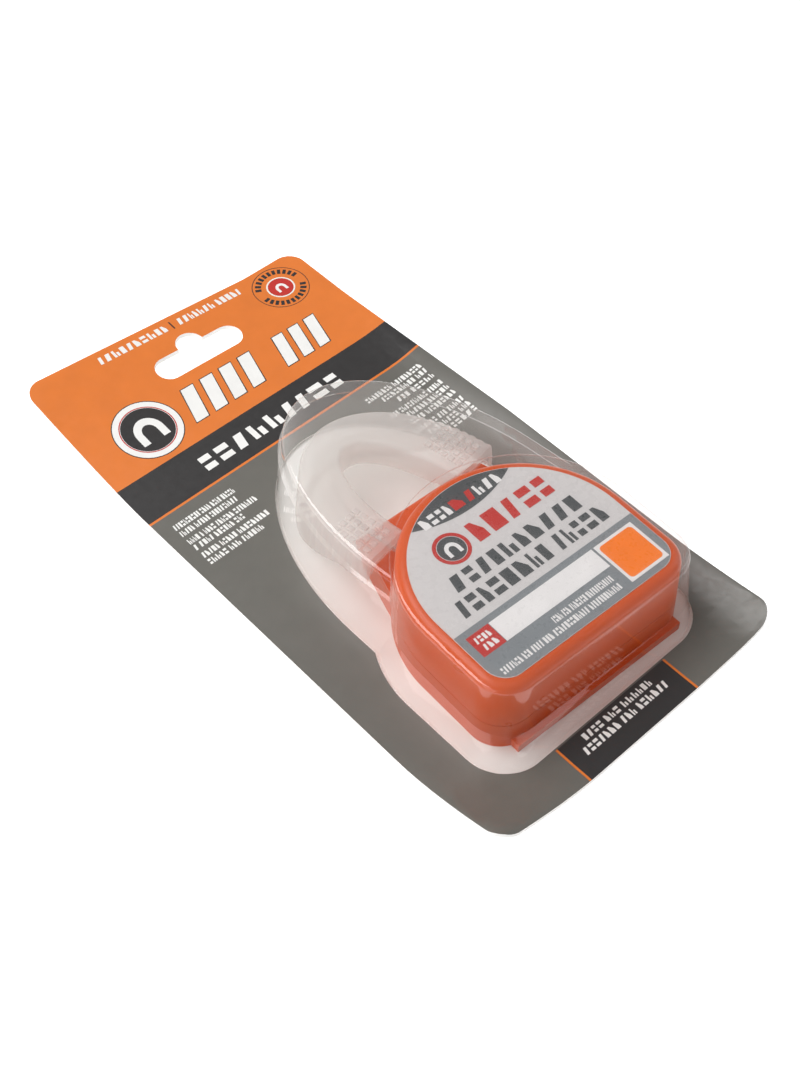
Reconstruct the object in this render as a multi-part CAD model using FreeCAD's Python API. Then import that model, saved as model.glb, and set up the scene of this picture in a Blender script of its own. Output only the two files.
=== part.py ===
"""Mouthguard with case in its retail pack.

A boil-and-bite mouthguard and the D-shaped hinged case that it is kept in, both trapped
under one clear thermoformed blister. The blister's flange is held between a printed front
card, which has a window for the blister, and a plain back card. Both cards have the same
hang slot. The mouthguard lies bite side up with the ends of its legs over the case's hinge
tail.

Frame: millimetres, +Z up, +Y towards the hang slot. The origin is at the centre of the back
card's rear face, which the pack rests on. The cards are symmetric about X = 0. The window
and the blister's foot sit CELL_X to the right. The loose case and the loose mouthguard are
each turned a little, and the blister's walls follow them.
"""
import FreeCAD
import Part

import math
import os

V = FreeCAD.Vector

# ---- driving dimensions -------------------------------------------------------------
CARD_W, CARD_L, CARD_T, CARD_R = 105.0, 203.0, 0.5, 6.0
SLOT_W, SLOT_H, SLOT_Y = 32.0, 9.0, 83.5          # hang slot: overall width, height, centre
BUMP_R, BUMP_Y = 4.6, 88.0                        # round bump on top of the hang slot
FILM_T = 0.5                                      # blister film
FLANGE_W = 6.0                                    # blister flange beyond the window
POCKET_GAP = 0.5                                  # room round the flange behind the front card
WINDOW_GAP = 0.4                                  # card window to blister wall

CELL_X = 1.5                                      # centre line of the window and the flange
CASE_X, CASE_TURN = 6.0, -2.3                     # case's place, and degrees turned about +Z
CASE_YC = -53.2                                   # centre of the D's round end
CASE_BOTTOM_R, CASE_TOP_R = 35.8, 34.9            # half width at the foot and at the top
CASE_BOTTOM_F, CASE_TOP_F = -82.0, -81.0          # straight front at the foot and top
CASE_CORNER = 9.5                                 # plan radius of the front corners
CASE_H = 25.5                                     # closed height of the case
SEAM_Z = 9.6                                      # base to lid parting height
SEAM_GAP = 0.25
CASE_WALL, CASE_FLOOR = 1.6, 1.6
TOP_ROUND = 3.0
RIM_H, RIM_T, RIM_GAP = 2.6, 1.1, 0.35            # locating rim of the base inside the lid

TAIL_BACK = 22.0                                  # half width of the tail's straight back
TAIL_SIDE_X, TAIL_SIDE_Y = 28.8, -34.5            # where the tail's slanted sides meet the D
LID_TAIL_T = 1.5                                  # thickness of the lid's tail plate
HINGE_Y, HINGE_Z, HINGE_R = -11.2, 7.4, 2.7       # hinge axis and barrel radius
PIN_R, PIN_CLEAR = 1.2, 0.06
KNUCKLES, KNUCKLE_GAP = 5, 0.3                    # barrel segments, base first and last

CATCH_W, CATCH_D, CATCH_H = 14.0, 0.25, 0.8       # snap ridge on the front of the rim
CATCH_UP = 0.8                                    # from the seam up to the snap ridge
LIP_W, LIP_D, LIP_H = 60.0, 2.2, 3.0              # finger lip along the base's front

LABEL_INSET, LABEL_T = 3.1, 0.2

GUARD_X, GUARD_TURN = -1.0, 8.0                   # centre line, and degrees turned about +Z
GUARD_Y = -19.2                                   # ends of the legs
GUARD_TOP, GUARD_LOW, GUARD_HEEL = 20.8, 1.6, 11.9  # bite face, front rim, rim over the tail
GUARD_A, GUARD_APEX = 27.5, 22.5                  # outer half width and front of bite face
GUARD_FLARE = 1.8                                 # how far the outer wall leans out
GUARD_SIDE_Y = -18.4                              # where the straight legs end
HEEL_START, HEEL_END = 12.0, 10.0                 # rim's rise, from the front and the legs' ends
INNER_A, INNER_APEX = 12.2, 11.7                  # inside of the U
GUARD_FLOOR, GUARD_WALL = 3.2, 1.7                # bite floor and outer wall
LINER_T, LINER_RISE = 1.3, 2.2                    # liner, and its edge above the front rim
LINGUAL_Z, LINER_LINGUAL = 11.2, 1.0              # edge of the low inner wall, liner above it
PAD_COLUMNS, PAD_ROWS, PAD_PITCH = 4, 5, 2.7      # bite pad's grid of ribs
PAD_H, PAD_RIB, PAD_RIB_H = 1.5, 1.1, 0.5         # depth of the pad, width and height of ribs
PAD_HEEL = 1.6                                    # from the end of the leg to the pad
PAD_W, PAD_L = PAD_COLUMNS * PAD_PITCH, PAD_ROWS * PAD_PITCH

# blister outlines: (z, half width, round end depth, front, corner radius), the first one at
# the window, the others round the case
CASE_CELL = [
    (CARD_T, 40.2, 37.0, -88.4, 12.5),
    (10.0, 37.6, 37.6, -84.8, 11.0),
    (27.2, 36.3, 36.3, -82.7, 10.2),
]
# (z, half width, centre Y of the half ellipse, front), the first one at the window
GUARD_CELL = [
    (CARD_T, 35.4, -26.0, 35.0),
    (18.6, 33.1, -26.0, 33.6),
    (19.2, 32.3, -26.0, 32.7),
    (25.6, 31.5, -26.0, 31.8),
]
GUARD_CELL_X, GUARD_CELL_TURN = 1.6, 5.5          # place and turn of the outlines round it
CELL_BACK = -60.0                                 # the mouthguard cell runs into the case cell
CELL_ROUND = 1.3


# ---- outlines -----------------------------------------------------------------------
def line(a, b):
    return Part.LineSegment(V(*a), V(*b)).toShape()


def arc(cx, cy, r, start, end, z):
    """Arc of a circle, from start to end degrees."""
    mid = (start + end) / 2
    points = [V(cx + r * math.cos(math.radians(t)), cy + r * math.sin(math.radians(t)), z)
              for t in (start, mid, end)]
    return Part.Arc(*points).toShape()


def half_ellipse(a, b, yc, z):
    """The +Y half of an ellipse with semi axes a along X and b along Y, from +X to -X."""
    if abs(a - b) < 1e-6:
        return arc(0, yc, a, 0, 180, z)
    circle = Part.Circle(V(0, 0, 0), V(0, 0, 1), 1.0)
    unit = Part.ArcOfCircle(circle, 0, math.pi).toShape()
    scale = FreeCAD.Matrix()
    scale.scale(a, b, 1.0)
    edge = unit.transformGeometry(scale)
    edge.translate(V(0, yc, z))
    return edge.Edges[0]


def d_wire(half_w, depth, front, corner, z, yc=CASE_YC):
    """D outline: straight front with rounded corners, straight sides and a round far end."""
    r = corner
    edges = [
        line((-half_w + r, front, z), (half_w - r, front, z)),
        arc(half_w - r, front + r, r, -90, 0, z),
        line((half_w, front + r, z), (half_w, yc, z)),
        half_ellipse(half_w, depth, yc, z),
        line((-half_w, yc, z), (-half_w, front + r, z)),
        arc(-half_w + r, front + r, r, 180, 270, z),
    ]
    return Part.Wire(edges)


def arch_wire(half_w, yc, apex, back, z):
    """Arch outline: straight back, straight sides and a half ellipse with its top at apex."""
    return Part.Wire([
        line((-half_w, back, z), (half_w, back, z)),
        line((half_w, back, z), (half_w, yc, z)),
        half_ellipse(half_w, apex - yc, yc, z),
        line((-half_w, yc, z), (-half_w, back, z)),
    ])


def placed(shape, dx, turn):
    """Turned about +Z at the origin and then moved along X."""
    shape.rotate(V(0, 0, 0), V(0, 0, 1), turn)
    shape.translate(V(dx, 0, 0))
    return shape


def loft(wires):
    return Part.makeLoft(wires, True, True)


def prism(wire, height):
    return Part.Face(wire).extrude(V(0, 0, height))


def box(x0, x1, y0, y1, z0, z1):
    return Part.makeBox(x1 - x0, y1 - y0, z1 - z0, V(x0, y0, z0))


def rod(x0, x1, y, z, r):
    """Cylinder along X."""
    return Part.makeCylinder(r, x1 - x0, V(x0, y, z), V(1, 0, 0))


def round_top(shape, z, radius):
    """Fillets the edges that lie in the plane z."""
    edges = [e for e in shape.Edges
             if abs(e.BoundBox.ZMin - z) < 1e-4 and abs(e.BoundBox.ZMax - z) < 1e-4]
    return shape.makeFillet(radius, edges)


def export(name, shape, dx=0.0, turn=0.0):
    """Writes one sub-part at its place in the pack."""
    shape = placed(shape.removeSplitter(), dx, turn)
    if not shape.isValid():
        raise ValueError(name + " is not valid")
    if shape.ShapeType == "Compound" and len(shape.Solids) == 1:
        shape = shape.Solids[0]
    shape.exportStep("parts/" + name + ".step")
    print(name, len(shape.Solids), round(shape.Volume, 1))


# ---- cards --------------------------------------------------------------------------
def rounded_rectangle(w, l, r, z):
    x, y = w / 2, l / 2
    return Part.Wire([
        line((-x + r, -y, z), (x - r, -y, z)), arc(x - r, -y + r, r, -90, 0, z),
        line((x, -y + r, z), (x, y - r, z)), arc(x - r, y - r, r, 0, 90, z),
        line((x - r, y, z), (-x + r, y, z)), arc(-x + r, y - r, r, 90, 180, z),
        line((-x, y - r, z), (-x, -y + r, z)), arc(-x + r, -y + r, r, 180, 270, z),
    ])


def hang_slot(z, height):
    r = SLOT_H / 2
    x = SLOT_W / 2 - r
    slot = Part.Wire([
        line((-x, SLOT_Y - r, z), (x, SLOT_Y - r, z)), arc(x, SLOT_Y, r, -90, 90, z),
        line((x, SLOT_Y + r, z), (-x, SLOT_Y + r, z)), arc(-x, SLOT_Y, r, 90, 270, z),
    ])
    bump = Part.makeCylinder(BUMP_R, height, V(0, BUMP_Y, z))
    return prism(slot, height).fuse(bump)


def card(z, thickness):
    blank = prism(rounded_rectangle(CARD_W, CARD_L, CARD_R, z), thickness)
    return blank.cut(hang_slot(z - 1, thickness + 2))


def window(z, height, grow):
    """The two cells' outline at the cards, grown by a margin."""
    _, w, depth, front, corner = CASE_CELL[0]
    lower = d_wire(w + grow, depth + grow, front - grow, corner + grow, z)
    _, a, yc, apex = GUARD_CELL[0]
    upper = arch_wire(a + grow, yc, apex + grow, CELL_BACK, z)
    return prism(lower, height).fuse(prism(upper, height))


def back_card():
    return card(0, CARD_T)


def front_card():
    """Lies on the back card, with a window for the cells and a pocket for their flange."""
    opening = window(0, CARD_T + FILM_T + CARD_T + 1, WINDOW_GAP)
    pocket = window(0, CARD_T + FILM_T, FLANGE_W + POCKET_GAP)
    hole = opening.fuse(pocket)
    hole.translate(V(CELL_X, 0, 0))
    return card(CARD_T, FILM_T + CARD_T).cut(hole)


# ---- blister ------------------------------------------------------------------------
def follow(wires, dx, turn):
    """Leaves the outline at the window, and moves the ones above it round what they hold."""
    return wires[:1] + [placed(wire, dx - CELL_X, turn) for wire in wires[1:]]


def cell_pair(inset):
    """Both cells as one solid, with every wall and top moved in by inset."""
    case_wires = [d_wire(w - inset, depth - inset, front + inset, corner - inset, z)
                  for z, w, depth, front, corner in lowered(CASE_CELL, inset)]
    guard_wires = [arch_wire(a - inset, yc, apex - inset, CELL_BACK, z)
                   for z, a, yc, apex in lowered(GUARD_CELL, inset)]
    case_solid = loft(follow(case_wires, CASE_X, CASE_TURN))
    guard_solid = loft(follow(guard_wires, GUARD_CELL_X, GUARD_CELL_TURN))
    radius = CELL_ROUND - inset
    case_cell = round_top(case_solid, CASE_CELL[-1][0] - inset, radius)
    guard_cell = round_top(guard_solid, GUARD_CELL[-1][0] - inset, radius)
    return case_cell.fuse(guard_cell)


def lowered(levels, inset):
    """The levels with the top one lowered by inset."""
    top = levels[-1]
    return levels[:-1] + [(top[0] - inset,) + top[1:]]


def blister():
    flange = window(CARD_T, FILM_T, FLANGE_W)
    outer = cell_pair(0).fuse(flange)
    return outer.cut(cell_pair(FILM_T))


# ---- case ---------------------------------------------------------------------------
def case_wire(height, inset):
    """The case's D outline at a height above its foot, moved in by inset."""
    t = height / CASE_H
    r = CASE_BOTTOM_R + (CASE_TOP_R - CASE_BOTTOM_R) * t - inset
    front = CASE_BOTTOM_F + (CASE_TOP_F - CASE_BOTTOM_F) * t + inset
    return d_wire(r, r, front, CASE_CORNER - inset, CARD_T + height)


def case_band(low, high, inset=0.0):
    """The case's outline lofted between two heights in the pack frame."""
    return loft([case_wire(low - CARD_T, inset), case_wire(high - CARD_T, inset)])


def tail_prism(z0, z1, inset=0.0, back=HINGE_Y):
    """Wedge-shaped tail from the D's round end to the hinge."""
    xb, xs = TAIL_BACK - inset, TAIL_SIDE_X - inset
    points = [(-xb, back, z0), (-xs, TAIL_SIDE_Y, z0), (xs, TAIL_SIDE_Y, z0), (xb, back, z0)]
    edges = [line(points[i], points[(i + 1) % 4]) for i in range(4)]
    return prism(Part.Wire(edges), z1 - z0)


def knuckle_spans():
    """X spans of the hinge's barrel segments, from -X to +X."""
    pitch = 2 * TAIL_BACK / KNUCKLES
    return [(-TAIL_BACK + i * pitch + KNUCKLE_GAP / 2,
             -TAIL_BACK + (i + 1) * pitch - KNUCKLE_GAP / 2) for i in range(KNUCKLES)]


def barrel(spans):
    bore = rod(-TAIL_BACK - 1, TAIL_BACK + 1, HINGE_Y, HINGE_Z, PIN_R + PIN_CLEAR)
    segments = [rod(a, b, HINGE_Y, HINGE_Z, HINGE_R) for a, b in spans]
    return segments[0].fuse(segments[1:]), bore


def hinge_slots(spans, reach):
    """Room for the other half's barrel segments, at a running gap."""
    slots = [box(a - KNUCKLE_GAP, b + KNUCKLE_GAP, HINGE_Y - reach, HINGE_Y + reach,
                 HINGE_Z - reach, HINGE_Z + reach) for a, b in spans]
    return slots[0].fuse(slots[1:])


def case_base():
    seam = SEAM_Z - SEAM_GAP / 2
    shell = case_band(CARD_T, seam).fuse(tail_prism(CARD_T, seam))
    cavity = case_band(CARD_T + CASE_FLOOR, seam + 1, CASE_WALL)
    rim_low, rim_high = CARD_T + CASE_FLOOR, SEAM_Z + RIM_H
    rim_out = CASE_WALL + RIM_GAP
    rim = case_band(rim_low, rim_high, rim_out).cut(
        case_band(rim_low - 1, rim_high + 1, rim_out + RIM_T))
    web = case_band(rim_low, seam - 1.5, CASE_WALL - 0.2).cut(
        case_band(rim_low - 1, seam, rim_out + RIM_T))
    lip = box(-LIP_W / 2, LIP_W / 2, CASE_BOTTOM_F - LIP_D + 0.2, CASE_BOTTOM_F + 1,
              CARD_T, CARD_T + LIP_H)
    rim_front = CASE_BOTTOM_F + (CASE_TOP_F - CASE_BOTTOM_F) * SEAM_Z / CASE_H + rim_out
    catch = box(-CATCH_W / 2, CATCH_W / 2, rim_front - CATCH_D, rim_front + RIM_T / 2,
                SEAM_Z + CATCH_UP, SEAM_Z + CATCH_UP + CATCH_H)
    spans = knuckle_spans()
    knuckles, bore = barrel(spans[0::2])
    tail_room = hinge_slots(spans[1::2], HINGE_R + KNUCKLE_GAP)
    shell = shell.cut(cavity).cut(tail_room).fuse([rim, web, lip, catch, knuckles])
    return shell.cut(bore)


def case_lid():
    seam = SEAM_Z + SEAM_GAP / 2
    top = CARD_T + CASE_H
    outer = round_top(case_band(seam, top), top, TOP_ROUND)
    outer = outer.fuse(tail_prism(seam, seam + LID_TAIL_T))
    cavity = round_top(case_band(seam - 1, top - CASE_FLOOR, CASE_WALL), top - CASE_FLOOR,
                       TOP_ROUND - CASE_WALL)
    spans = knuckle_spans()
    knuckles, bore = barrel(spans[1::2])
    links = [box(a, b, HINGE_Y - HINGE_R, HINGE_Y, HINGE_Z, seam + LID_TAIL_T)
             for a, b in spans[1::2]]
    room = hinge_slots(spans[0::2], HINGE_R + KNUCKLE_GAP)
    lid = outer.cut(cavity).cut(room).fuse([knuckles] + links)
    return lid.cut(bore)


def hinge_pin():
    return rod(-TAIL_BACK, TAIL_BACK, HINGE_Y, HINGE_Z, PIN_R)


def lid_label():
    top = CARD_T + CASE_H
    r = CASE_TOP_R - LABEL_INSET
    wire = d_wire(r, r, CASE_TOP_F + LABEL_INSET, CASE_CORNER - LABEL_INSET, top)
    return prism(wire, LABEL_T)


# ---- mouthguard ---------------------------------------------------------------------
def guard_wire(inset, z, flare=0.0):
    a = GUARD_A - inset + flare
    return arch_wire(a, GUARD_SIDE_Y, GUARD_APEX - inset + flare, GUARD_Y, z)


def guard_outer(inset):
    """Outer wall as a solid: the bite face at the top, leaning out towards the rim."""
    top = GUARD_TOP
    return loft([guard_wire(inset, GUARD_LOW, GUARD_FLARE), guard_wire(inset, top)])


def guard_inner(grow, z0, z1):
    """The space inside the U, grown by grow, open past the ends of the legs."""
    wire = arch_wire(INNER_A + grow, GUARD_SIDE_Y, INNER_APEX + grow, GUARD_Y - 5, z0)
    return prism(wire, z1 - z0)


def heel_relief():
    """The rim rises towards the ends of the legs, so that they clear the case's tail."""
    x = GUARD_A + 10
    start, end, behind = GUARD_APEX - HEEL_START, GUARD_Y + HEEL_END, GUARD_Y - 2
    profile = [(-x, behind, 0), (-x, start, 0), (-x, start, GUARD_LOW),
               (-x, end, GUARD_HEEL), (-x, behind, GUARD_HEEL)]
    edges = [line(profile[i], profile[(i + 1) % 5]) for i in range(5)]
    return Part.Face(Part.Wire(edges)).extrude(V(2 * x, 0, 0))


def pad_box(side, z0, z1):
    """Bite pad outline over one leg."""
    centre = side * (GUARD_A + INNER_A) / 2
    low = GUARD_Y + PAD_HEEL
    return box(centre - PAD_W / 2, centre + PAD_W / 2, low, low + PAD_L, z0, z1)


def trough(wall, floor):
    """The U-shaped channel for the teeth, wall thick on its sides and floor on top."""
    top = GUARD_TOP - floor
    low = GUARD_LOW - 1
    wires = [guard_wire(wall, low, GUARD_FLARE), guard_wire(wall, top)]
    channel = loft(wires).cut(guard_inner(wall, low, top + 1))
    return channel.common(box(-60, 60, GUARD_Y - 1, 60, low, top))


def mouthguard_shell():
    shell = guard_outer(0).cut(guard_inner(0, GUARD_LOW - 1, GUARD_TOP + 1))
    shell = shell.cut(trough(GUARD_WALL, GUARD_FLOOR))
    behind = guard_inner(GUARD_WALL, GUARD_LOW - 1, LINGUAL_Z)
    shell = shell.cut(behind).cut(heel_relief())
    pockets = [pad_box(side, GUARD_TOP - PAD_H, GUARD_TOP + 1) for side in (-1, 1)]
    return shell.cut(pockets)


def mouthguard_liner():
    liner = trough(GUARD_WALL, GUARD_FLOOR).cut(trough(GUARD_WALL + LINER_T,
                                                       GUARD_FLOOR + LINER_T))
    low = box(-60, 60, GUARD_Y - 2, 60, 0, GUARD_LOW + LINER_RISE)
    behind = guard_inner(GUARD_WALL + LINER_T, GUARD_LOW - 2, LINGUAL_Z + LINER_LINGUAL)
    return liner.cut([low, behind, heel_relief()])


def bite_pad(side):
    """Soft pad let into the bite face, with a square grid of raised ribs."""
    pad = pad_box(side, GUARD_TOP - PAD_H, GUARD_TOP)
    bounds = pad.BoundBox
    low, high, half = GUARD_TOP, GUARD_TOP + PAD_RIB_H, PAD_RIB / 2
    ribs = []
    for i in range(PAD_COLUMNS):
        x = bounds.XMin + (i + 0.5) * PAD_PITCH
        ribs.append(box(x - half, x + half, bounds.YMin, bounds.YMax, low, high))
    for j in range(PAD_ROWS):
        y = bounds.YMin + (j + 0.5) * PAD_PITCH
        ribs.append(box(bounds.XMin, bounds.XMax, y - half, y + half, low, high))
    return pad.fuse(ribs)


def main():
    os.makedirs("parts", exist_ok=True)
    export("back_card", back_card())
    export("front_card", front_card())
    export("blister", blister(), CELL_X)
    export("case_base", case_base(), CASE_X, CASE_TURN)
    export("case_lid", case_lid(), CASE_X, CASE_TURN)
    export("hinge_pin", hinge_pin(), CASE_X, CASE_TURN)
    export("lid_label", lid_label(), CASE_X, CASE_TURN)
    export("mouthguard_shell", mouthguard_shell(), GUARD_X, GUARD_TURN)
    export("mouthguard_liner", mouthguard_liner(), GUARD_X, GUARD_TURN)
    export("bite_pad_left", bite_pad(-1), GUARD_X, GUARD_TURN)
    export("bite_pad_right", bite_pad(1), GUARD_X, GUARD_TURN)


main()
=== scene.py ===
"""Looks of a mouthguard and its hinged case in their retail blister pack.

The cards and the blister's flange are curled a little at their edges, as pressed card is. The
print, the label's print and the translucent mouthguard are made here. The case, its hinge pin
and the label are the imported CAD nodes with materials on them.
Lengths are written in millimetres and turned into metres by mm().
"""
import math
import random

import bmesh
import bpy
from mathutils import Matrix, Vector


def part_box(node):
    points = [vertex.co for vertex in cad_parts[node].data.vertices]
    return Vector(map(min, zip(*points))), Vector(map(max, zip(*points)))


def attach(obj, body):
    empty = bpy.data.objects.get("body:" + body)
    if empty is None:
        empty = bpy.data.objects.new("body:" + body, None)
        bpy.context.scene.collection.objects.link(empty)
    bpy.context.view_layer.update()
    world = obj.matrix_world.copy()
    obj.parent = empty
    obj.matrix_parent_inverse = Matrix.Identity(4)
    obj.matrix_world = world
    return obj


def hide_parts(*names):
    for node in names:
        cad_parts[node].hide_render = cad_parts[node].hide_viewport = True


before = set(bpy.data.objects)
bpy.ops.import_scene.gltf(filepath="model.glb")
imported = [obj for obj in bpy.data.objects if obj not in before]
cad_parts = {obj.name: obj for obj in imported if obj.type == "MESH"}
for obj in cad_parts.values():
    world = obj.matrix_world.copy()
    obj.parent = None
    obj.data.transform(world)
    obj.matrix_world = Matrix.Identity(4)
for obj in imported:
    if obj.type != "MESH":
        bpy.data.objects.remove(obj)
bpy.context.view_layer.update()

MM = 0.001

# ---- places and sizes, in millimetres -----------------------------------------------------
CARD_LOW, CARD_HIGH = [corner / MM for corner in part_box("front_card")]
LABEL_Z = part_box("lid_label")[1].z / MM
FACE_Z = CARD_HIGH.z                              # printed face of the front card
CASE_X, CASE_TURN = 6.0, math.radians(-2.3)       # from the case's own axes to the frame
LABEL_YC, LABEL_R = -53.2, 31.8                   # the label's round end, in the case's axes
LABEL_FRONT, LABEL_CORNER = -77.9, 6.4
INK = 0.02                                        # height of one layer of ink

# print on the front card
LINE_LOW, BAND_LOW, HEADER_LOW = 39.6, 40.4, 54.8  # orange line, dark band, orange header
FOOT_TOP, FOOT_X0, FOOT_X1 = -89.3, -19.8, 20.9    # dark box below the window
FOOT_LINE = 0.7                                    # orange line at each side of the box
TRIM = 0.05                                        # from the print to the card's edge
BADGE, EMBLEM = (38.8, 90.5), (-31.4, 68.2)        # centres of the two round marks
BADGE_RIM, BADGE_RING, BADGE_DISC = (9.4, 9.15), (4.7, 4.2), 4.1   # radii, outer and inner
EMBLEM_EDGE, EMBLEM_DISC, EMBLEM_RING, EMBLEM_DARK = 10.9, 10.6, (8.7, 8.35), 8.2
TICKS, TICK_R, TICK_HALF = 26, 7.35, 0.55          # square ticks round the badge
STRIPE_LOW, STRIPE_TOP, OUTLINE = 61.4, 74.2, 0.3  # slanted stripes and their dark outline
TITLE_LOW, TITLE_TOP = 96.2, 99.0                  # line of print above the hang slot
LEFT_X0, LEFT_HALF = -48.1, 1.05                   # left text: start and half height of a line
LEFT_TEXT = (                                      # centre, end, lengths of the words
    (34.4, -26.5, [10, 4, 4, 5]), (31.4, -27.8, [5, 5, 10]), (27.8, -23.6, [4, 1, 4, 6, 8]),
    (25.0, -30.4, [1, 4, 6, 3]), (21.4, -24.3, [5, 5, 9]), (18.4, -28.8, [5, 3, 6]))
RIGHT_X1, RIGHT_HALF = 47.6, 1.0                   # right text: end and half height of a line
RIGHT_TEXT = (                                     # centre, start, lengths of the words
    (34.1, 25.5, [8, 9]), (31.4, 29.5, [10, 3]), (28.4, 33.0, [3, 5]),
    (24.6, 27.0, [3, 10, 5]), (21.8, 31.0, [6, 6]), (18.9, 30.0, [4, 9]),
    (15.2, 28.0, [7, 3, 5]), (12.4, 31.0, [8, 3]), (9.6, 36.0, [6]))

# print on the label: the ring mark, and the dark badge between two arcs at the round end
RING, RING_RED, RING_DISC = (-12.9, LABEL_FRONT + 40.2), (5.3, 4.2), 4.0
LENS_W, LENS_SAG, LENS_INSET = 17.5, 4.0, 0.15
BAND_TOP = LABEL_FRONT + 18.4                      # grey band along the label's front

# mouthguard
GUARD_X, GUARD_TURN = -1.0, math.radians(8)
GUARD_BACK, GUARD_SIDE = -19.2, -18.4             # ends of the legs, start of the arch
GUARD_A, GUARD_APEX = 27.5, 22.5                  # outer half width and front of the bite face
INNER_A, INNER_APEX = 12.2, 11.7                  # inside of the U
LEG_STEPS, ARCH_STEPS = 2, 240
GUARD_TOP, GUARD_LOW, GUARD_HEEL = 20.8, 1.6, 11.9  # bite face, front rim, rim over the tail
HEEL_START, HEEL_END = 12, 10                     # the rim's rise, from the front and the back
LINGUAL_Z, GUARD_FLARE = 11.2, 1.8
WALL, FLOOR, LINER, LINER_RISE = 1.7, 3.2, 1.3, 2.2  # thicknesses, and the liner's low edge
LINER_GAP, LINER_LINGUAL = 0.03, 1.0              # gap to the shell, edge over its inner wall
SHELL_HIDDEN, LINER_HIDDEN = range(5, 12), range(7, 12)  # sides between shell and liner
TOOTH_PITCH, TOOTH_DEPTH = 2.7, 0.6               # scallops along the outside of the legs
TOOTH_END, TOOTH_FADE = 7.0, 5.0                  # where they end, over this length
PAD_COLUMNS, PAD_ROWS, PAD_PITCH = 4, 5, 2.7
PAD_W, PAD_HEEL = PAD_COLUMNS * PAD_PITCH, 1.6
STUD_GROOVE, STUD_SINK = 0.4, 0.05                # half a groove, depth below the bite face
STUD_H, STUD_DRAFT = 0.5, 0.12
STUD_ROUND, END_ROUND = 0.18, 0.35                # bevels of the studs and of the legs' ends

# curl of the cards: how far places on them stand above flat
GRID = 4.0                                        # spacing of the lines they bend along
TOP_LIFT, TOP_REACH, TOP_START, TOP_POWER = 8.6, 85.0, 45.0, 1.3  # highest at the top left
CORNER_LIFTS, CORNER_POWER = ((-1, 10.0, 26.0), (1, 3.0, 26.0)), 1.6  # side, height, reach
SIDE_LIFT, SIDE_START, SIDE_TOP, SIDE_FULL = 4.0, 39.0, 75.0, 0.0  # right edge
SIDE_POWER = 2
SHARP = math.radians(24)                          # creases sharper than this stay sharp


def mm(*values):
    """A vector in metres from lengths in millimetres."""
    return Vector(v * MM for v in values)


# ---- materials --------------------------------------------------------------------------
def colour(red, green, blue):
    """Linear colour from display values of 0 to 255."""
    def linear(c):
        c /= 255
        return c / 12.92 if c <= 0.04045 else ((c + 0.055) / 1.055) ** 2.4
    return (linear(red), linear(green), linear(blue), 1.0)


WHITE = colour(244, 243, 240)
BOARD = colour(245, 243, 240)
ORANGE = colour(228, 124, 50)
DARK = colour(50, 48, 48)
GREY = colour(106, 104, 98)
RED = colour(196, 52, 46)
LABEL_GREY = colour(214, 209, 209)
LABEL_DARK = colour(78, 80, 82)
LABEL_BAND = colour(134, 138, 142)
LABEL_WHITE = colour(240, 236, 236)
LABEL_ORANGE = colour(255, 128, 32)
CASE_ORANGE = colour(214, 80, 4)
PIN_ORANGE = colour(214, 74, 20)
RUBBER = colour(250, 248, 246)


def node(tree, kind, inputs=None, **settings):
    """Adds a shader node; an input is either a value or the socket that feeds it."""
    made = tree.nodes.new("ShaderNode" + kind)
    for name, value in settings.items():
        setattr(made, name, value)
    for name, value in (inputs or {}).items():
        if isinstance(value, bpy.types.NodeSocket):
            tree.links.new(value, made.inputs[name])
        else:
            made.inputs[name].default_value = value
    return made


def start(name):
    """A new empty material, its node tree and its texture coordinates."""
    made = bpy.data.materials.new(name)
    made.use_nodes = True
    tree = made.node_tree
    tree.nodes.clear()
    return made, tree, node(tree, "TexCoord")


def close(tree, shader):
    """Joins the finished shader to the material's output."""
    node(tree, "OutputMaterial", {"Surface": shader})


def noise(tree, where, scale, low, high, detail=3.0):
    """A noise pattern as a number from low to high."""
    pattern = node(tree, "TexNoise", {"Vector": where.outputs["Object"], "Scale": scale,
                                      "Detail": detail})
    spread = node(tree, "MapRange", {"Value": pattern.outputs["Fac"], "From Min": 0.3,
                                     "From Max": 0.7, "To Min": low, "To Max": high})
    return spread.outputs["Result"]


def mottled(tree, where, base, amount, scale):
    """base, made lighter and darker by a noise pattern."""
    hsv = node(tree, "HueSaturation", {"Value": noise(tree, where, scale, 1 - amount,
                                                      1 + amount)})
    if isinstance(base, bpy.types.NodeSocket):
        tree.links.new(base, hsv.inputs["Color"])
    else:
        hsv.inputs["Color"].default_value = base
    return hsv.outputs["Color"]


def grain(tree, where, scale, strength, distance):
    """A normal roughened by fine noise."""
    height = noise(tree, where, scale, 0.0, 1.0, detail=4.0)
    bump = node(tree, "Bump", {"Height": height, "Strength": strength, "Distance": distance})
    return bump.outputs["Normal"]


def surface(name, base, rough, mottle=(0.03, 90.0), bump=(1800.0, 0.15, 0.00005), **shader):
    """Opaque material: mottled colour, uneven roughness and a fine grain."""
    made, tree, where = start(name)
    inputs = {"Base Color": mottled(tree, where, base, *mottle),
              "Roughness": noise(tree, where, mottle[1] * 3, rough - 0.05, rough + 0.05),
              "Normal": grain(tree, where, *bump)}
    inputs.update(shader)
    close(tree, node(tree, "BsdfPrincipled", inputs).outputs["BSDF"])
    return made


def board():
    """Unprinted white board."""
    return surface("white_board", BOARD, 0.62, mottle=(0.02, 140.0),
                   bump=(900.0, 0.25, 0.00008))


def ink(name, base, rough=0.36):
    """Flat printed ink."""
    return surface(name, base, rough, mottle=(0.025, 220.0), bump=(1500.0, 0.12, 0.00004))


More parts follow.
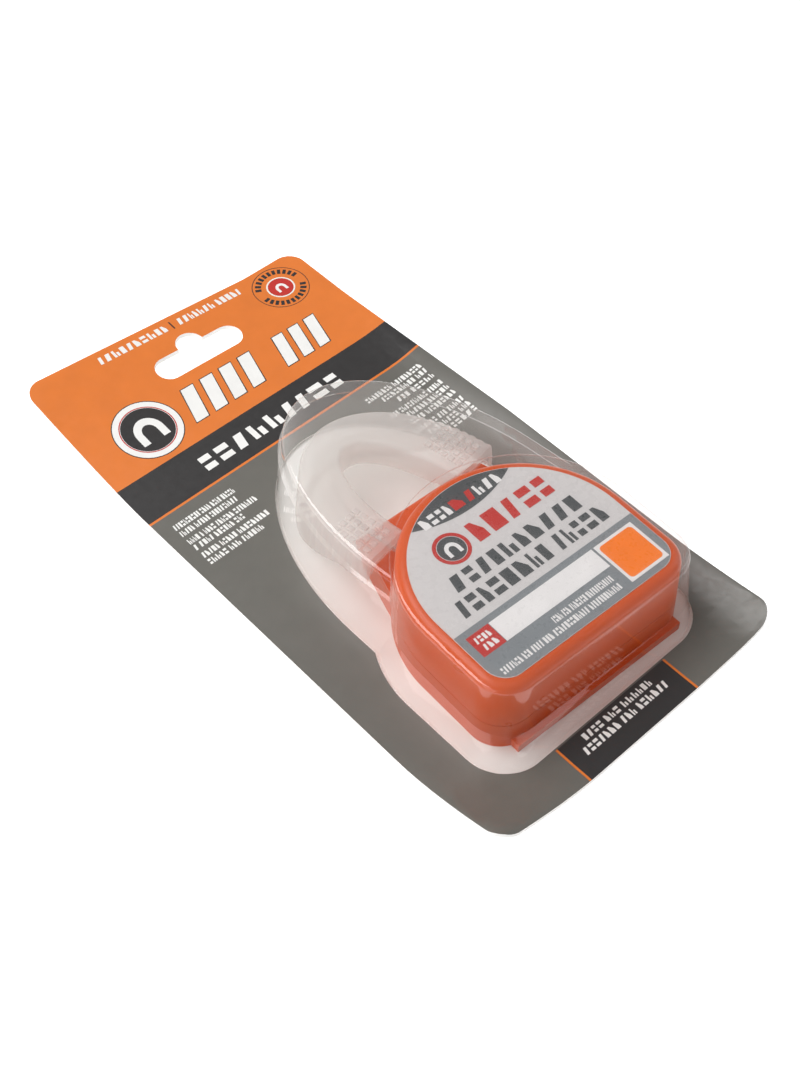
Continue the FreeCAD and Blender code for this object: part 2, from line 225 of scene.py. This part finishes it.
def printed_board():
    """Front card: bands of flat print on its face, white board on its back and edges."""
    made, tree, where = start("printed_board")
    spot = node(tree, "SeparateXYZ", {"Vector": where.outputs["Object"]})
    span = node(tree, "MapRange", {"Value": spot.outputs["Y"],
                                   "From Min": CARD_LOW.y * MM, "From Max": CARD_HIGH.y * MM})
    ramp = node(tree, "ValToRGB", {"Fac": span.outputs["Result"]})
    stops = ramp.color_ramp
    stops.interpolation = "CONSTANT"
    stops.elements[0].color = GREY
    stops.elements.remove(stops.elements[1])
    for edge, tone in ((LINE_LOW, ORANGE), (BAND_LOW, DARK), (HEADER_LOW, ORANGE)):
        place = (edge - CARD_LOW.y) / (CARD_HIGH.y - CARD_LOW.y)
        stops.elements.new(place).color = tone
    up = node(tree, "SeparateXYZ", {"Vector": where.outputs["Normal"]})
    face = node(tree, "Math", {0: up.outputs["Z"], 1: 0.6}, operation="GREATER_THAN")
    mix = node(tree, "Mix", data_type="RGBA")
    tree.links.new(face.outputs[0], mix.inputs[0])
    mix.inputs[6].default_value = BOARD
    tree.links.new(ramp.outputs["Color"], mix.inputs[7])
    inputs = {"Base Color": mottled(tree, where, mix.outputs[2], 0.035, 130.0),
              "Roughness": noise(tree, where, 500.0, 0.30, 0.42),
              "Normal": grain(tree, where, 1200.0, 0.12, 0.00005),
              "Coat Weight": 0.1, "Coat Roughness": 0.35}
    close(tree, node(tree, "BsdfPrincipled", inputs).outputs["BSDF"])
    return made


def moulded(name, base):
    """Case plastic: semi-gloss with slow waves."""
    made, tree, where = start(name)
    waves = noise(tree, where, 30.0, 0.0, 1.0, detail=1.0)
    bump = node(tree, "Bump", {"Height": waves, "Strength": 0.1, "Distance": 0.0003})
    inputs = {"Base Color": mottled(tree, where, base, 0.015, 40.0),
              "Roughness": noise(tree, where, 60.0, 0.27, 0.32),
              "Normal": bump.outputs["Normal"],
              "Specular IOR Level": 0.35,
              "Subsurface Weight": 0.08, "Subsurface Scale": 0.0015}
    close(tree, node(tree, "BsdfPrincipled", inputs).outputs["BSDF"])
    return made


def edge_mask(tree, blend, low, high):
    """low where the surface faces the viewer, high where it turns away."""
    weight = node(tree, "LayerWeight", {"Blend": blend})
    spread = node(tree, "MapRange", {"Value": weight.outputs["Facing"],
                                     "To Min": low, "To Max": high})
    return spread.outputs["Result"]


def blended(tree, share, first, second):
    """Two shaders mixed; share is the second one's part."""
    mix = node(tree, "MixShader", {"Fac": share})
    tree.links.new(first.outputs[0], mix.inputs[1])
    tree.links.new(second.outputs[0], mix.inputs[2])
    return mix


def skin_share(tree, normal):
    """Share of light that the film mirrors, the same on its two sides (Schlick's formula)."""
    away = node(tree, "LayerWeight", {"Blend": 0.5, "Normal": normal})
    steep = node(tree, "Math", {0: away.outputs["Facing"], 1: 5.0}, operation="POWER")
    share = node(tree, "MapRange", {"Value": steep.outputs[0], "To Min": 0.06, "To Max": 1.0})
    return share.outputs["Result"]


def film():
    """Clear film: mostly see-through, with a faint milky haze and a glossy skin."""
    made, tree, where = start("clear_film")
    waves = noise(tree, where, 22.0, 0.0, 1.0, detail=1.0)
    bump = node(tree, "Bump", {"Height": waves, "Strength": 0.1, "Distance": 0.0008})
    normal = bump.outputs["Normal"]
    clear = node(tree, "BsdfTransparent", {"Color": (0.985, 0.985, 0.98, 1.0)})
    haze = node(tree, "BsdfTranslucent", {"Color": colour(246, 245, 243), "Normal": normal})
    milky = blended(tree, edge_mask(tree, 0.35, 0.04, 0.25), clear, haze)
    gloss = node(tree, "BsdfGlossy", {"Color": (1.0, 1.0, 1.0, 1.0), "Roughness": 0.07,
                                      "Normal": normal})
    close(tree, blended(tree, skin_share(tree, normal), milky, gloss).outputs[0])
    return made


def silicone(name, base, density, rough):
    """Translucent rubber: part clear, the rest scattering light back and through."""
    made, tree, where = start(name)
    tint = mottled(tree, where, base, 0.02, 160.0)
    normal = grain(tree, where, 700.0, 0.10, 0.0001)
    uneven = noise(tree, where, 420.0, rough - 0.06, rough + 0.06)
    skin = node(tree, "BsdfPrincipled", {"Base Color": tint, "Normal": normal,
                                         "Roughness": uneven})
    through = node(tree, "BsdfTranslucent", {"Color": tint, "Normal": normal})
    body = blended(tree, 0.45, skin, through)
    clear = node(tree, "BsdfTransparent", {"Color": (0.985, 0.98, 0.975, 1.0)})
    close(tree, blended(tree, density, clear, body).outputs[0])
    return made


# ---- meshes -----------------------------------------------------------------------------
def piece(name, mesh, finish, body, slot, *nodes):
    """Links a mesh as a piece that rides on a body and may stand for CAD nodes."""
    made = bpy.data.objects.new(name, mesh)
    bpy.context.scene.collection.objects.link(made)
    mesh.materials.append(finish)
    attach(made, body)
    if nodes:
        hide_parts(*nodes)
    return made


def flat_mesh(name, loops, z):
    """Flat sheet inside closed outlines; an outline inside another is a hole."""
    curve = bpy.data.curves.new(name, "CURVE")
    curve.dimensions = "2D"
    curve.fill_mode = "BOTH"
    for loop in loops:
        spline = curve.splines.new("POLY")
        spline.points.add(len(loop) - 1)
        for point, (x, y) in zip(spline.points, loop):
            point.co = (x * MM, y * MM, 0, 1)
        spline.use_cyclic_u = True
    holder = bpy.data.objects.new(name, curve)
    mesh = bpy.data.meshes.new_from_object(holder)
    bpy.data.objects.remove(holder)
    mesh.transform(Matrix.Translation(mm(0, 0, z)))
    return mesh


def join(name, meshes):
    """One mesh out of several."""
    whole = bmesh.new()
    for part in meshes:
        whole.from_mesh(part)
    mesh = bpy.data.meshes.new(name)
    whole.to_mesh(mesh)
    whole.free()
    return mesh


def round_box(x0, x1, y0, y1, r=0.0):
    """Rectangle, with round corners if r is given."""
    if r <= 0:
        return [(x0, y0), (x1, y0), (x1, y1), (x0, y1)]
    points, steps = [], 6
    for cx, cy, first in ((x1 - r, y0 + r, -90), (x1 - r, y1 - r, 0),
                          (x0 + r, y1 - r, 90), (x0 + r, y0 + r, 180)):
        for i in range(steps + 1):
            turn = math.radians(first + 90 * i / steps)
            points.append((cx + r * math.cos(turn), cy + r * math.sin(turn)))
    return points


def disc(cx, cy, r):
    """Circle of 48 sides."""
    turns = [math.tau * i / 48 for i in range(48)]
    return [(cx + r * math.cos(turn), cy + r * math.sin(turn)) for turn in turns]


def ring(centre, radii):
    """A flat ring as an area: a circle with a round hole."""
    return [disc(*centre, r) for r in radii]


def alone(loops):
    """Outlines as areas of their own, so that none is a hole in another."""
    return [[loop] for loop in loops]


def arch_icon(cx, cy, size):
    """U-shaped mouthguard outline, open towards -Y."""
    outer, inner = [], []
    for i in range(25):
        turn = math.pi * i / 24
        outer.append((cx + size * math.cos(turn), cy + 1.15 * size * math.sin(turn)))
        inner.append((cx + 0.5 * size * math.cos(turn), cy + 0.6 * size * math.sin(turn)))
    low = cy - 0.75 * size
    return ([(cx + size, low)] + outer + [(cx - size, low), (cx - 0.5 * size, low)]
            + inner[::-1] + [(cx + 0.5 * size, low)])


def mark(x0, x1, y0, y1, kind):
    """One mark of print that is no letter: a block, two bars, a cut or slanted block, or two."""
    w, h = x1 - x0, y1 - y0
    if kind == 0:
        return [round_box(x0, x1, y0, y1)]
    if kind == 1:
        return [round_box(x0, x1, y0, y0 + 0.38 * h), round_box(x0, x1, y0 + 0.62 * h, y1)]
    if kind == 2:
        return [[(x0, y0), (x1, y0), (x1, y0 + 0.45 * h), (x0 + 0.5 * w, y1), (x0, y1)]]
    if kind == 3:
        return [[(x0, y0), (x1 - 0.3 * w, y0), (x1, y1), (x0 + 0.3 * w, y1)]]
    return [round_box(x0, x0 + 0.4 * w, y0, y1), round_box(x0 + 0.6 * w, x1, y0, y0 + 0.6 * h)]


def blocks(x0, x1, y0, y1, words, seed):
    """A line of print without letters: a mark per letter, in words of these lengths."""
    draw = random.Random(seed)
    widths = [[draw.uniform(0.7, 1.1) for _ in range(n)] for n in words]
    gap, space = 0.38, 0.95
    total = sum(sum(w) + gap * (len(w) - 1) for w in widths) + space * (len(words) - 1)
    unit = (x1 - x0) / total
    loops, x = [], x0
    for word in widths:
        for width in word:
            loops += mark(x, x + width * unit, y0, y1, draw.randrange(5))
            x += (width + gap) * unit
        x += (space - gap) * unit
    return loops


def stripes(x0, x1, y0, y1, count):
    """Broad slanted stripes."""
    pitch = (x1 - x0) / count
    slant, width = 0.3 * (y1 - y0), 0.62 * pitch
    return [[(x0 + i * pitch, y0), (x0 + i * pitch + width, y0),
             (x0 + i * pitch + width + slant, y1), (x0 + i * pitch + slant, y1)]
            for i in range(count)]


def grown(loops, by):
    """Outlines pushed out from their own centres, for an outline behind print."""
    made = []
    for loop in loops:
        cx = sum(p[0] for p in loop) / len(loop)
        cy = sum(p[1] for p in loop) / len(loop)
        made.append([(x + by * (1 if x > cx else -1), y + by * (1 if y > cy else -1))
                     for x, y in loop])
    return made


def printed(name, areas, z, layer, finish, body, slot, fit):
    """Areas of one ink as one piece, each its own thin sheet; fit puts them in place."""
    sheets = [flat_mesh(name, area, z + INK * layer) for area in areas]
    piece(name, fit(join(name, sheets)), finish, body, slot)


# ---- the curl of the cards --------------------------------------------------------------
def clamp(value):
    """value, kept within 0 and 1."""
    return min(max(value, 0.0), 1.0)


def lift(x, y):
    """How far a place on the cards stands above flat."""
    left = clamp(1 - (x - CARD_LOW.x) / TOP_REACH)
    up = clamp((y - TOP_START) / (CARD_HIGH.y - TOP_START))
    rise = TOP_LIFT * (left * up ** TOP_POWER)
    for side, height, reach in CORNER_LIFTS:
        corner = CARD_HIGH.x * side
        away = (abs(x - corner) + abs(y - CARD_LOW.y)) / math.sqrt(2)
        rise += height * clamp(1 - away / reach) ** CORNER_POWER
    across = clamp((x - SIDE_START) / (CARD_HIGH.x - SIDE_START))
    along = clamp((SIDE_TOP - y) / (SIDE_TOP - SIDE_FULL))
    return rise + SIDE_LIFT * across ** SIDE_POWER * along


def bent(x, y):
    """lift, taken straight between the lines of the grid."""
    i, j = math.floor(x / GRID), math.floor(y / GRID)
    u, v = x / GRID - i, y / GRID - j
    low = lift(i * GRID, j * GRID) * (1 - u) + lift((i + 1) * GRID, j * GRID) * u
    high = lift(i * GRID, (j + 1) * GRID) * (1 - u) + lift((i + 1) * GRID, (j + 1) * GRID) * u
    return low * (1 - v) + high * v


def curled(mesh):
    """Cuts a mesh along the grid and lifts it with the cards."""
    work = bmesh.new()
    work.from_mesh(mesh)
    for axis, low, high in ((0, CARD_LOW.x, CARD_HIGH.x), (1, CARD_LOW.y, CARD_HIGH.y)):
        normal = Vector((1 - axis, axis, 0))
        for i in range(math.ceil(low / GRID), math.floor(high / GRID) + 1):
            bmesh.ops.bisect_plane(work, geom=work.verts[:] + work.edges[:] + work.faces[:],
                                   plane_co=normal * i * GRID * MM, plane_no=normal)
    for vert in work.verts:
        vert.co.z += bent(vert.co.x / MM, vert.co.y / MM) * MM
    work.to_mesh(mesh)
    work.free()
    return mesh


def outer_skin(mesh):
    """Keeps the faces that look up or out, as all the blister's walls lean in."""
    work = bmesh.new()
    work.from_mesh(mesh)
    under = [face for face in work.faces if face.normal.z < -0.001]
    bmesh.ops.delete(work, geom=under, context="FACES")
    work.to_mesh(mesh)
    work.free()


def curled_node(name, finish, body, slot):
    """A card or the blister as a curled copy of its CAD mesh, in place of the CAD node."""
    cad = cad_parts[name]
    mesh = cad.data.copy()
    mesh.transform(cad.matrix_world)
    mesh.materials.clear()
    if name == "blister":
        outer_skin(mesh)
    curled(mesh)
    for face in mesh.polygons:
        face.use_smooth = True
    mesh.set_sharp_from_angle(angle=SHARP)
    piece(name + "_curled", mesh, finish, body, slot, name)


# ---- the cards and their print ----------------------------------------------------------
def badge_ticks():
    """Square ticks round the badge, with a gap on its left and right."""
    ticks, half = [], TICKS // 2
    for i in range(TICKS):
        if i % half in (0, half - 1):
            continue
        turn = math.tau * i / TICKS
        along = Vector((math.cos(turn), math.sin(turn)))
        side = Vector((-along.y, along.x)) * TICK_HALF
        centre = Vector(BADGE) + along * TICK_R
        ticks.append([tuple(centre + along * a + side * b)
                      for a, b in ((-1, -1), (1, -1), (1, 1), (-1, 1))])
    return ticks


def card_lines():
    """The lines of print: title, dark band, left and right text, and foot."""
    lines = [blocks(-27.4, -2.0, TITLE_LOW, TITLE_TOP, [10], 1),
             blocks(2.6, 27.4, TITLE_LOW, TITLE_TOP, [7, 5], 2),
             blocks(-27.2, 25.8, 44.8, 50.4, [9], 3)]
    for i, (y, end, words) in enumerate(LEFT_TEXT):
        lines.append(blocks(LEFT_X0, end, y - LEFT_HALF, y + LEFT_HALF, words, 20 + i))
    for i, (y, begin, words) in enumerate(RIGHT_TEXT):
        lines.append(blocks(begin, RIGHT_X1, y - RIGHT_HALF, y + RIGHT_HALF, words, 40 + i))
    lines.append(blocks(-12.3, 13.3, -92.6, -90.5, [4, 3, 6], 60))
    lines.append(blocks(-15.2, 16.2, -95.9, -93.6, [7, 3, 6], 61))
    return [loop for line in lines for loop in line]


def card_print():
    """Print on the front card, one piece for each ink and layer."""
    white, dark = ink("ink_white", WHITE), ink("ink_dark", DARK)
    orange, red = ink("ink_orange", ORANGE), ink("ink_red", RED)

    def lay(name, areas, layer, finish):
        printed(name, areas, FACE_Z, layer, finish, "front", "card_front", curled)

    big = (stripes(-18.4, 11.0, STRIPE_LOW, STRIPE_TOP, 4)
           + stripes(17.5, 37.0, STRIPE_LOW, STRIPE_TOP, 3))
    foot_low = CARD_LOW.y + TRIM
    lay("print_outlines", alone(grown(big, OUTLINE))
        + alone([disc(*EMBLEM, EMBLEM_EDGE), round_box(FOOT_X0, FOOT_X1, foot_low, FOOT_TOP)])
        + [ring(BADGE, BADGE_RIM)]
        + alone(badge_ticks() + [round_box(0.0, 0.5, TITLE_LOW - 0.3, TITLE_TOP + 0.3)]),
        1, dark)
    lay("print_white", alone(card_lines() + big + [disc(*EMBLEM, EMBLEM_DISC)])
        + [ring(BADGE, BADGE_RING)], 2, white)
    lay("print_emblem", alone([disc(*EMBLEM, EMBLEM_DARK)]), 3, dark)
    lay("print_arch", alone([arch_icon(EMBLEM[0], EMBLEM[1] - 1.2, 4.8)]), 4, white)
    lay("print_orange", alone([round_box(x, x + FOOT_LINE, foot_low, FOOT_TOP)
                               for x in (FOOT_X0 - FOOT_LINE, FOOT_X1)]), 2, orange)
    lay("print_red", alone([disc(*BADGE, BADGE_DISC)]) + [ring(EMBLEM, EMBLEM_RING)], 3, red)
    lay("print_badge_arch", alone([arch_icon(BADGE[0], BADGE[1] - 0.5, 1.9)]), 4, white)


# ---- the label --------------------------------------------------------------------------
def label_box(u0, u1, v0, v1, r=0.0):
    """A box on the label: across from its centre line, up from its front edge."""
    return round_box(u0, u1, LABEL_FRONT + v0, LABEL_FRONT + v1, r)


def label_blocks(u0, u1, v0, v1, words, seed):
    """A line of marks in such a box."""
    return blocks(u0, u1, LABEL_FRONT + v0, LABEL_FRONT + v1, words, seed)


def label_shape(inset):
    """The label's own D outline, moved in by inset."""
    half, low, corner = LABEL_R - inset, LABEL_FRONT + inset, LABEL_CORNER - inset
    right = [(half - corner + corner * math.sin(math.radians(turn)),
              low + corner - corner * math.cos(math.radians(turn))) for turn in range(0, 91, 15)]
    end = [(half * math.cos(math.pi * i / 48), LABEL_YC + half * math.sin(math.pi * i / 48))
           for i in range(49)]
    return right + end + [(-x, y) for x, y in right[::-1]]


def lens():
    """Dark badge at the label's round end, between two arcs."""
    radius = LABEL_R - LENS_INSET
    tip = math.acos(LENS_W / radius)
    top = [(radius * math.cos(tip + (math.pi - 2 * tip) * i / 32),
            LABEL_YC + radius * math.sin(tip + (math.pi - 2 * tip) * i / 32)) for i in range(33)]
    low_r = (LENS_W ** 2 + LENS_SAG ** 2) / (2 * LENS_SAG)
    swing = math.asin(LENS_W / low_r)
    low = [(low_r * math.sin(-swing + 2 * swing * i / 24),
            top[0][1] - LENS_SAG + low_r - low_r * math.cos(-swing + 2 * swing * i / 24))
           for i in range(1, 24)]
    return top + low


def on_lid(mesh):
    """Moves a mesh from the case's own axes to the frame."""
    mesh.transform(Matrix.Translation(mm(CASE_X, 0, 0)) @ Matrix.Rotation(CASE_TURN, 4, "Z"))
    return mesh


def label_print():
    """Print on the label, one piece for each ink and layer."""
    def lay(name, areas, layer, finish):
        printed(name, areas, LABEL_Z, layer, finish, "lid", "label_paper", on_lid)

    def label_ink(name, base):
        return ink("label_ink_" + name, base, 0.3)

    band = [(x, min(y, BAND_TOP)) for x, y in label_shape(0.1) if y < LABEL_YC + 0.01]
    words = (label_blocks(-21.2, 23.6, 28.3, 33.4, [10], 70)
             + label_blocks(-25.1, 26.6, 21.0, 26.4, [8, 5], 71))
    lay("label_band", alone([band]), 1, label_ink("band", LABEL_BAND))
    lay("label_dark", alone([lens()] + words + [disc(*RING, RING_DISC)]), 2,
        label_ink("dark", LABEL_DARK))
    white = label_ink("white", LABEL_WHITE)
    strips = [label_box(-21.7, 14.9, 9.3, 16.4), label_box(15.6, 29.4, 1.9, 16.4)]
    small = (label_blocks(-8.6, 12.4, 5.3, 7.4, [4, 3, 7, 12], 72)
             + label_blocks(-29.0, 12.4, 2.2, 4.3, [7, 3, 4, 3, 12, 12], 73)
             + label_blocks(-14.3, -4.4, 49.0, 52.6, [4], 74)
             + label_blocks(4.9, 13.2, 49.0, 52.6, [3], 75))
    lay("label_white", alone(strips + small + [arch_icon(RING[0], RING[1] - 0.6, 2.3)]), 3,
        white)
    red = (label_blocks(-5.6, 10.0, 37.0, 43.8, [3], 76)
           + label_blocks(12.2, 21.8, 37.0, 43.8, [2], 77)
           + label_blocks(-3.6, 4.1, 49.0, 52.6, [2], 78)
           + [label_box(-29.5, -21.9, 9.3, 16.4)])
    lay("label_red", [ring(RING, RING_RED)] + alone(red), 3, label_ink("red", RED))
    lay("label_tag", alone(label_blocks(-28.2, -23.2, 13.2, 15.2, [4], 79)
                           + label_blocks(-27.6, -23.2, 10.4, 12.4, [3], 80)), 4, white)
    lay("label_orange", alone([label_box(16.5, 28.5, 2.8, 15.5, 1.2)]), 4,
        label_ink("orange", LABEL_ORANGE))


# ---- the mouthguard ---------------------------------------------------------------------
def turned(x, y, z):
    """From the mouthguard's own axes to the frame."""
    c, s = math.cos(GUARD_TURN), math.sin(GUARD_TURN)
    return mm(GUARD_X + x * c - y * s, x * s + y * c, z)


def stations():
    """Outer point, inner point and distance along the U, from the left end to the right."""
    pairs = []
    for i in range(LEG_STEPS):
        y = GUARD_BACK + (GUARD_SIDE - GUARD_BACK) * i / LEG_STEPS
        pairs.append(((-GUARD_A, y), (-INNER_A, y)))
    for i in range(ARCH_STEPS + 1):
        turn = math.pi * (1 - i / ARCH_STEPS)
        c, s = math.cos(turn), math.sin(turn)
        pairs.append(((GUARD_A * c, GUARD_SIDE + (GUARD_APEX - GUARD_SIDE) * s),
                      (INNER_A * c, GUARD_SIDE + (INNER_APEX - GUARD_SIDE) * s)))
    for i in range(1, LEG_STEPS + 1):
        y = GUARD_SIDE + (GUARD_BACK - GUARD_SIDE) * i / LEG_STEPS
        pairs.append(((GUARD_A, y), (INNER_A, y)))
    made, run, last = [], 0.0, None
    for outer, inner in pairs:
        outer, inner = Vector(outer), Vector(inner)
        run += (outer - last).length if last else 0.0
        last = outer
        made.append((outer, inner, run))
    return made


def rim_height(y):
    """Height of the outer wall's edge: low at the front, high over the case's tail."""
    start_y, end_y = GUARD_APEX - HEEL_START, GUARD_BACK + HEEL_END
    share = clamp((start_y - y) / (start_y - end_y))
    return GUARD_LOW + (GUARD_HEEL - GUARD_LOW) * share


def swept(name, section, hidden):
    """Sweeps a section along the U and closes its two ends; its hidden sides are left out."""
    mesh = bmesh.new()
    rings = []
    for outer, inner, run in stations():
        inward = (inner - outer).normalized()
        width = (inner - outer).length
        ring = []
        for across, z in section(width, rim_height(outer.y), outer.y, run):
            spot = outer + inward * across
            ring.append(mesh.verts.new(turned(spot.x, spot.y, z)))
        rings.append(ring)
    count = len(rings[0])
    for a, b in zip(rings, rings[1:]):
        for i in (i for i in range(count) if i not in hidden):
            j = (i + 1) % count
            mesh.faces.new((a[i], b[i], b[j], a[j]))
    mesh.faces.new(rings[0])
    mesh.faces.new(rings[-1][::-1])
    bmesh.ops.recalc_face_normals(mesh, faces=mesh.faces[:])
    made = bpy.data.meshes.new(name)
    mesh.to_mesh(made)
    mesh.free()
    return made


def shell_section(width, rim, y, run):
    """Outer wall, bite face and low inner wall, with round edges: (inward, height) points."""
    def lean(z):
        return -GUARD_FLARE * (GUARD_TOP - z) / (GUARD_TOP - GUARD_LOW)

    fade = clamp((TOOTH_END - y) / TOOTH_FADE)
    bump = TOOTH_DEPTH * fade * (1 - abs(math.sin(math.pi * run / TOOTH_PITCH)))
    under = GUARD_TOP - FLOOR
    edge, low = max(LINGUAL_Z, rim), rim + LINER_RISE
    foot = lean(rim)
    return [
        (foot + bump, rim + 0.6), (foot + 0.25 + 0.6 * bump, rim + 0.15), (foot + 0.85, rim),
        (foot + 1.45, rim + 0.15), (foot + WALL, rim + 0.6), (lean(low) + WALL, low),
        (lean(under) + WALL, under - 1.0), (WALL + 0.3, under - 0.3), (WALL + 1.0, under),
        (width - WALL - 1.0, under), (width - WALL - 0.3, under - 0.3),
        (width - WALL, under - 1.0), (width - WALL, edge + LINER_LINGUAL),
        (width - WALL, edge + 0.6),
        (width - WALL + 0.25, edge + 0.15), (width - WALL / 2, edge),
        (width - 0.25, edge + 0.15), (width, edge + 0.6),
        (width, GUARD_TOP - 1.3), (width - 0.35, GUARD_TOP - 0.4),
        (width - 1.3, GUARD_TOP), (width * 0.66, GUARD_TOP - 0.12),
        (width * 0.33, GUARD_TOP - 0.12), (1.3, GUARD_TOP),
        (0.35 + bump, GUARD_TOP - 0.4), (bump, GUARD_TOP - 1.3),
        (lean(GUARD_TOP - 4) + bump, GUARD_TOP - 4),
        (lean((rim + GUARD_TOP) / 2) + bump, (rim + GUARD_TOP) / 2),
    ]


def liner_section(width, rim, y, run):
    """Softer lining of the tooth channel; it takes the same values as shell_section."""
    under, gap = GUARD_TOP - FLOOR, LINER_GAP
    low = rim + LINER_RISE
    edge = max(LINGUAL_Z, rim) + LINER_LINGUAL
    outside, inside = WALL + gap, WALL + LINER
    return [
        (outside - 0.2, low), (inside - 0.2, low), (inside, under - LINER - 0.8),
        (inside + 0.8, under - LINER), (width - inside - 0.8, under - LINER),
        (width - inside, under - LINER - 0.8), (width - inside, edge),
        (width - outside, edge), (width - outside, under - 1.0),
        (width - outside - 1.0, under - gap), (outside + 1.0, under - gap),
        (outside, under - 1.0),
    ]


def block_mesh(mesh, x0, x1, y0, y1, z0, z1, draft):
    """Adds a block with leaning sides and no underside to a bmesh."""
    low = [mesh.verts.new(turned(x, y, z0)) for x, y in
           ((x0, y0), (x1, y0), (x1, y1), (x0, y1))]
    high = [mesh.verts.new(turned(x, y, z1)) for x, y in
            ((x0 + draft, y0 + draft), (x1 - draft, y0 + draft),
             (x1 - draft, y1 - draft), (x0 + draft, y1 - draft))]
    mesh.faces.new(high)
    for i in range(4):
        j = (i + 1) % 4
        mesh.faces.new((low[i], low[j], high[j], high[i]))


def bite_pad(name, side, finish, cad):
    """Pad of square studs with grooves between them, on the bite face of one leg."""
    mesh = bmesh.new()
    centre = side * (GUARD_A + INNER_A) / 2
    x0, y0 = centre - PAD_W / 2, GUARD_BACK + PAD_HEEL
    for column in range(PAD_COLUMNS):
        for row in range(PAD_ROWS):
            x, y = x0 + column * PAD_PITCH, y0 + row * PAD_PITCH
            block_mesh(mesh, x + STUD_GROOVE, x + PAD_PITCH - STUD_GROOVE,
                       y + STUD_GROOVE, y + PAD_PITCH - STUD_GROOVE,
                       GUARD_TOP - STUD_SINK, GUARD_TOP + STUD_H, STUD_DRAFT)
    made = bpy.data.meshes.new(name)
    mesh.to_mesh(made)
    mesh.free()
    pad = piece(name, made, finish, "guard", "bite_pad", cad)
    bevel = pad.modifiers.new("soft_edges", "BEVEL")
    bevel.width, bevel.segments = STUD_ROUND * MM, 2


def mouthguard():
    """The U of shell and liner, with a pad of studs on each leg."""
    shell = piece("guard_shell", swept("guard_shell", shell_section, SHELL_HIDDEN),
                  silicone("silicone_shell", RUBBER, 0.42, 0.36),
                  "guard", "guard_shell", "mouthguard_shell")
    liner = piece("guard_liner", swept("guard_liner", liner_section, LINER_HIDDEN),
                  silicone("silicone_liner", RUBBER, 0.2, 0.3),
                  "guard", "guard_liner", "mouthguard_liner")
    for part in (shell, liner):
        for face in part.data.polygons:
            face.use_smooth = True
        edges = part.modifiers.new("end_edges", "BEVEL")
        edges.width, edges.segments = END_ROUND * MM, 2
        edges.limit_method, edges.angle_limit = "ANGLE", math.radians(60)
    studs = silicone("silicone_pad", RUBBER, 0.32, 0.5)
    bite_pad("bite_studs_left", -1, studs, "bite_pad_left")
    bite_pad("bite_studs_right", 1, studs, "bite_pad_right")


# ---- the nodes from CAD -----------------------------------------------------------------
def dress(name, finish):
    """Puts a material on a CAD node."""
    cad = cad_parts[name]
    for holder in cad.material_slots:
        holder.material = finish


def dress_cad():
    """The cards and the blister, curled, and the materials of the nodes that stay as packed."""
    curled_node("front_card", printed_board(), "front", "card_front")
    curled_node("back_card", board(), "back", "card_back")
    curled_node("blister", film(), "front", "blister_film")
    orange = moulded("case_plastic", CASE_ORANGE)
    dress("case_base", orange)
    dress("case_lid", orange)
    dress("hinge_pin", moulded("pin_plastic", PIN_ORANGE))
    dress("lid_label", surface("label_paper", LABEL_GREY, 0.28, mottle=(0.015, 150.0),
                               bump=(40.0, 0.05, 0.0004)))


# ---- camera, floor and light ------------------------------------------------------------
def camera():
    """The view of the pack from its lower left, half from above."""
    place = mm(-191.7, -210.8, 350.9 + FACE_Z)
    right = Vector((0.73396, -0.67913, 0.00913))
    up = Vector((0.53265, 0.58389, 0.61267))
    back = right.cross(up)
    data = bpy.data.cameras.new("camera")
    data.sensor_width, data.lens = 36.0, 51.78
    made = bpy.data.objects.new("camera", data)
    bpy.context.scene.collection.objects.link(made)
    axes = Matrix((right, up, back)).transposed()
    made.matrix_world = Matrix.Translation(place) @ axes.to_4x4()
    bpy.context.scene.camera = made


def area_light(name, place, target, size, power):
    """A rectangular light, in metres and watts, that faces its target."""
    data = bpy.data.lights.new(name, "AREA")
    data.shape, data.size, data.size_y = "RECTANGLE", size[0], size[1]
    data.energy = power
    made = bpy.data.objects.new(name, data)
    made.location = place
    made.rotation_euler = (Vector(target) - Vector(place)).to_track_quat("-Z", "Y").to_euler()
    bpy.context.scene.collection.objects.link(made)


def studio():
    """Pale floor, even white surroundings and three soft lights."""
    scene = bpy.context.scene
    scene.view_settings.view_transform = "Standard"
    world = bpy.data.worlds.new("studio")
    world.use_nodes = True
    background = world.node_tree.nodes["Background"]
    background.inputs["Color"].default_value = (1, 1, 1, 1)
    background.inputs["Strength"].default_value = 0.3
    scene.world = world
    floor = bpy.data.meshes.new("floor")
    half, low = 2, -0.0004                        # metres; just under the pack
    floor.from_pydata([(-half, -half, low), (half, -half, low), (half, half, low),
                       (-half, half, low)], [], [(0, 1, 2, 3)])
    glow = {"Emission Color": (1.0, 1.0, 1.0, 1.0), "Emission Strength": 0.45}
    floor.materials.append(surface("floor_paper", (0.97, 0.97, 0.97, 1.0), 0.8,
                                   mottle=(0.004, 3.0), **glow))
    ground = bpy.data.objects.new("floor", floor)
    scene.collection.objects.link(ground)
    area_light("top_softbox", (-0.35, 0.45, 0.9), (0, 0, 0), (0.9, 0.7), 9.8)
    area_light("left_softbox", (-0.9, -0.2, 0.6), (0, 0, 0), (0.6, 0.9), 1.8)
    area_light("right_strip", (0.8, -0.3, 0.5), (0, -0.03, 0), (0.2, 0.8), 1.0)


camera()
studio()
dress_cad()
card_print()
label_print()
mouthguard()
